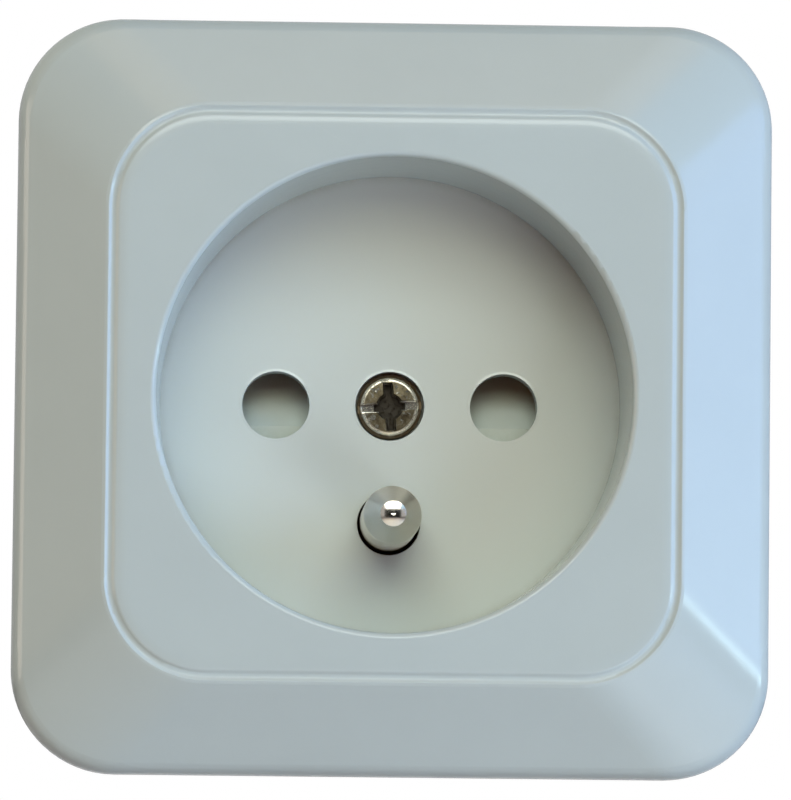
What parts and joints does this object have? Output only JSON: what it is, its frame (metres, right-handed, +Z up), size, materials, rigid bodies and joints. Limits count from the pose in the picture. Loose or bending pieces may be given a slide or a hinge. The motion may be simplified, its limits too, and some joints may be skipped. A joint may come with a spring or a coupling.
{
  "type": "surface-mounted earthed wall socket",
  "caption": "Square surface-mounted wall socket with a sloping frame, a deep round well, shuttered round pin holes, an earth pin and a centre screw.",
  "frame": {"origin": "centre of the base's back face, on the wall, behind the centre screw", "axes": "+X to the right and +Z up as the socket is seen from the front, +Y into the wall; the front faces -Y. Up is as in the picture, with the earth pin below the pin holes."},
  "size_m": [0.062, 0.04, 0.062],
  "materials": {
    "cover_plastic": "gloss, pale blue-grey",
    "base_plastic": "matt, pale grey",
    "shutter_plastic": "satin, pale green-grey",
    "nickel_steel": "satin nickel plate",
    "nickel_brass": "satin nickel plate",
    "zinc_steel": "bright zinc plate",
    "brass": "bare, stamped",
    "spring_steel": "plain spring steel"
  },
  "bodies": {
    "housing": {"cover": "cover_plastic", "base": "base_plastic", "contact_cap": "base_plastic", "left_cap_screw": "zinc_steel", "right_cap_screw": "zinc_steel", "left_contact": "brass", "right_contact": "brass", "left_contact_ring": "spring_steel", "right_contact_ring": "spring_steel", "left_clamp_plate": "zinc_steel", "right_clamp_plate": "zinc_steel", "earth_clamp_plate": "zinc_steel", "left_terminal_screw": "zinc_steel", "right_terminal_screw": "zinc_steel", "earth_terminal_screw": "zinc_steel", "left_terminal_nut": "brass", "right_terminal_nut": "brass", "earth_terminal_nut": "brass", "earth_pin": "nickel_brass", "earth_strap": "brass", "left_shutter_spring": "spring_steel", "right_shutter_spring": "spring_steel", "centre_screw": "nickel_steel", "centre_bush": "brass"},
    "shutter": {"shutter": "shutter_plastic"}
  },
  "joints": [
    {"name": "shutter_slide", "type": "slide", "parent": "housing", "child": "shutter", "axis": [0, 0, -1], "range_m": [0, 0.0064], "stiffness_N_per_m": 500, "springref_m": -0.003, "deforming": ["left_shutter_spring", "right_shutter_spring"]}
  ]
}
